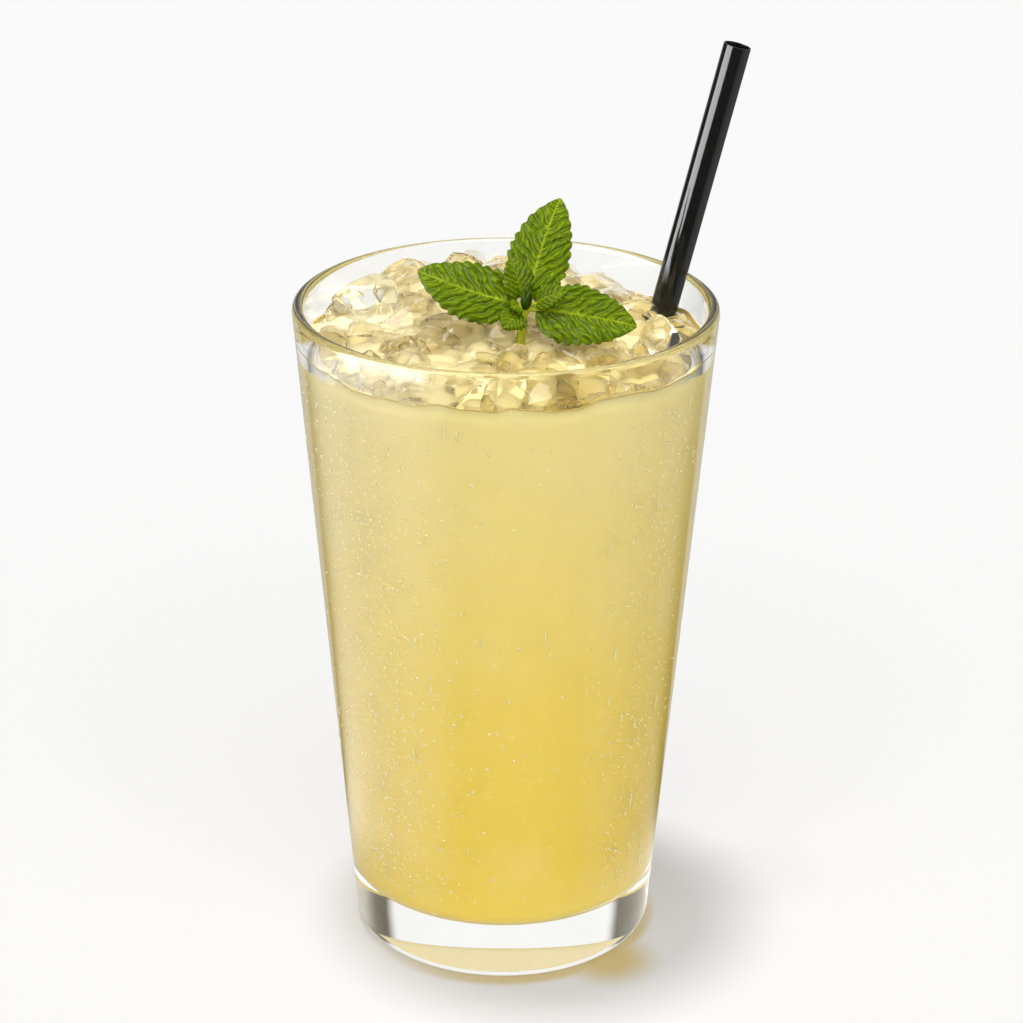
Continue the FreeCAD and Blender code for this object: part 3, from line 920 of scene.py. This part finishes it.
panels_group = studio_panels()
corner_signs = np.array([[-1, -1, 0], [1, -1, 0], [1, 1, 0], [-1, 1, 0]])
floor_mesh = bpy.data.meshes.new("floor")
floor_mesh.from_pydata((half_floor * corner_signs).tolist(), [], [(0, 1, 2, 3)])
floor = bpy.data.objects.new("floor", floor_mesh)
bpy.context.scene.collection.objects.link(floor)
pale_floor = Finish("pale_floor")
glow = Glow(pale_floor.tree)
place = glow.node("ShaderNodeTexCoord").outputs["Object"]
ray = glow.node("ShaderNodeLightPath").outputs
panels = glow.node("ShaderNodeGroup", node_tree=panels_group)
glow.put(place, panels.inputs[0])
reach = glow.node("ShaderNodeVectorMath", operation="LENGTH")
glow.put(place, reach.inputs[0])
distance = reach.outputs["Value"]

# Mirrored in the glass: the left panel near by and its strip far off, the right one and the cloth.
left_glow = glow.maths("MULTIPLY", panels.outputs["Left"], 1.9)
left_glow = glow.blend(glow.window(distance, 0.045, 0.075), 0.6, left_glow)
strip_glow = glow.maths("MULTIPLY", panels.outputs["Strip"], strip_bright)
mirrored = glow.blend(glow.window(distance, 0.34, 0.44), left_glow, strip_glow)
right_glow = glow.maths("MULTIPLY", panels.outputs["Right"], right_bright)
inside_glass = glow.window(ray["Transmission Depth"], 0.2, 0.8, 0.5, 0.9)
cloth_glow = glow.maths("MULTIPLY", panels.outputs["Behind"], inside_glass)
mirrored = glow.maths("ADD", mirrored, right_glow, cloth_glow, 0.06)

# Seen through the glass: bright, but dark far off at the sides. Past three surfaces, both what is
# seen and what is mirrored are bright all round.
deep = glow.window(ray["Transmission Depth"], 2.6, 3.6)
not_behind = glow.window(panels.outputs["Behind"], 1.0, 0.0)
at_side = glow.maths("MULTIPLY", glow.window(distance, 0.10, 0.35), not_behind)
at_side = glow.maths("MULTIPLY", at_side, glow.maths("SUBTRACT", 1.0, deep))
seen_through = glow.blend(at_side, 0.93, 0.10)
mirrored = glow.blend(deep, mirrored, 0.9)

# Painted caustic: the gold tint of light that came through the drink, painted into the floor's
# colour and glow as a spot at the right front and a part ring.
painted_caustic_spot = glow.window(glow.far_from(place, (0.0230, -0.0225, 0)), 0.0135, 0.003)
painted_caustic_ring = glow.window(distance, 0.0345, 0.0320, 0, 0.85)
painted_caustic_side = glow.window(glow.towards(place, (0.5, -0.87, 0)), 0.0, 0.03)
painted_caustic_ring = glow.maths("MULTIPLY", painted_caustic_ring, painted_caustic_side)
painted_gold = glow.maths("MAXIMUM", painted_caustic_spot, painted_caustic_ring)
caustic_tinted = colour_mix(glow, painted_gold, plain_white, painted_caustic_tint)
shade = glow.node("ShaderNodeVectorMath", operation="SCALE", Scale=floor_shade)
glow.put(caustic_tinted, shade.inputs[0])
diffuse = glow.node("ShaderNodeBsdfDiffuse")
glow.put(shade.outputs[0], diffuse.inputs["Color"])
lift = glow.node("ShaderNodeEmission", Strength=floor_lift)
glow.put(caustic_tinted, lift.inputs["Color"])
table = glow.node("ShaderNodeAddShader")
glow.put(diffuse.outputs[0], table.inputs[0])
glow.put(lift.outputs[0], table.inputs[1])

bounce = glow.node("ShaderNodeEmission", Strength=floor_bounce)
glow_mirrored = glow.node("ShaderNodeEmission")
glow.put(mirrored, glow_mirrored.inputs["Strength"])
glow_through = glow.node("ShaderNodeEmission")
glow.put(seen_through, glow_through.inputs["Strength"])
shown = glow_through.outputs[0]
for kind, shader in (
        ("Is Glossy Ray", glow_mirrored), ("Diffuse Depth", bounce), ("Is Camera Ray", table)):
    choice = glow.node("ShaderNodeMixShader")
    glow.put(ray[kind], choice.inputs[0])
    glow.put(shown, choice.inputs[1])
    glow.put(shader.outputs[0], choice.inputs[2])
    shown = choice.outputs[0]
glow.put(shown, pale_floor.output.inputs["Surface"])
pale_floor.material.cycles.emission_sampling = "NONE"
pale_floor.tree.nodes.remove(pale_floor.surface)
floor.data.materials.append(pale_floor.material)

sky = bpy.data.worlds.new("sky")
bpy.context.scene.world = sky
sky.use_nodes = True
air = Glow(sky.node_tree)
direction = air.node("ShaderNodeTexCoord").outputs["Generated"]
ray = air.node("ShaderNodeLightPath").outputs
panels = air.node("ShaderNodeGroup", node_tree=panels_group)
air.put(direction, panels.inputs[0])
upward = air.towards(direction, (0, 0, 1))
to_lamp = air.towards(direction, (-0.10, -0.04, 0.994))
ahead = air.towards(direction, (0.03, -0.897, 0.44))
away = air.towards(direction, (0.03, 0.897, 0.44))

# What lights the pieces: from the front, and for those behind glass also from overhead and, less,
# from behind.
overhead = air.window(to_lamp, 0.89, 0.985, 0, 3.2)
front = air.window(ahead, 0.45, 1.0, 0.43, 3.42)
behind = air.window(away, 0.40, 1.0, 0, 2.0)
through_glass = air.window(ray["Ray Depth"], 2.2, 2.8)
even = air.maths("ADD", overhead, front, behind)
even = air.blend(through_glass, air.window(ahead, 0.40, 1.0, 0.38, 2.25), even)

# What the glass mirrors: both panels, the cloth, the ceiling and the lamp's glint.
below_lamp = air.window(upward, 0.9, 0.8)
left_panel = air.maths("MULTIPLY", panels.outputs["Strip"], below_lamp, strip_bright)
right_panel = air.maths("MULTIPLY", panels.outputs["Right"], right_bright)
inside_glass = air.window(ray["Transmission Depth"], 0.2, 0.8, 0.35, cloth_bright)
dim_cloth = air.maths("MULTIPLY", panels.outputs["Behind"], inside_glass)
ceiling = air.window(upward, 0.55, 0.95, 0.06, 0.9)
mirror_sky = air.maths("ADD", left_panel, right_panel, dim_cloth, ceiling)
deep = air.window(ray["Transmission Depth"], 2.6, 3.6)
mirror_sky = air.blend(deep, mirror_sky, 0.72)
mirror_sky = air.maths("ADD", mirror_sky, air.window(to_lamp, 0.90, 0.98, 0, 3.0))

# What shows through the glass: the cloth and the ceiling, and past three surfaces an even grey.
cloth = air.maths("MULTIPLY", panels.outputs["Behind"], cloth_bright)
through_sky = air.blend(deep, air.maths("ADD", cloth, ceiling), 0.70)
lighting = air.blend(ray["Is Glossy Ray"], through_sky, mirror_sky)
lighting = air.blend(ray["Diffuse Depth"], lighting, even)
sky.cycles.sampling_method = "NONE"
sky_surface = sky.node_tree.nodes["Background"]
sky_surface.inputs["Color"].default_value = plain_white
air.put(lighting, sky_surface.inputs["Strength"])

lamp = bpy.data.lights.new("key", "SUN")
lamp.energy = 3.0
lamp.angle = math.radians(9)
key_light = bpy.data.objects.new("key", lamp)
bpy.context.scene.collection.objects.link(key_light)
key_light.rotation_euler = (math.radians(-0.8), math.radians(-3.8), 0)
key_light.visible_glossy = False
key_light.visible_transmission = False

camera_aim = np.array([1.44, 0, 95.27]) * mm
camera_distance = 650 * mm
camera_rise = math.radians(22.8)
camera_roll = math.radians(0.42)
camera_data = bpy.data.cameras.new("camera")
camera_data.sensor_width = 36.0
camera_data.lens = 108.43
camera_data.clip_start = 0.01
camera = bpy.data.objects.new("camera", camera_data)
bpy.context.scene.collection.objects.link(camera)
camera_back = np.array([0, -math.cos(camera_rise), math.sin(camera_rise)])
camera_up = np.array([0, math.sin(camera_rise), math.cos(camera_rise)])
camera_right = np.array([1.0, 0, 0])
rolled_right = camera_right * math.cos(camera_roll) + camera_up * math.sin(camera_roll)
rolled_up = camera_up * math.cos(camera_roll) - camera_right * math.sin(camera_roll)
camera_place = camera_aim + camera_back * camera_distance
camera_columns = np.column_stack([rolled_right, rolled_up, camera_back, camera_place])
camera.matrix_world = Matrix([*camera_columns.tolist(), [0, 0, 0, 1]])
bpy.context.scene.camera = camera

scene = bpy.context.scene
scene.view_settings.view_transform = "Standard"
scene.cycles.max_bounces = 20
scene.cycles.transmission_bounces = 16
scene.cycles.transparent_max_bounces = 24
scene.cycles.glossy_bounces = 8
scene.cycles.diffuse_bounces = 4
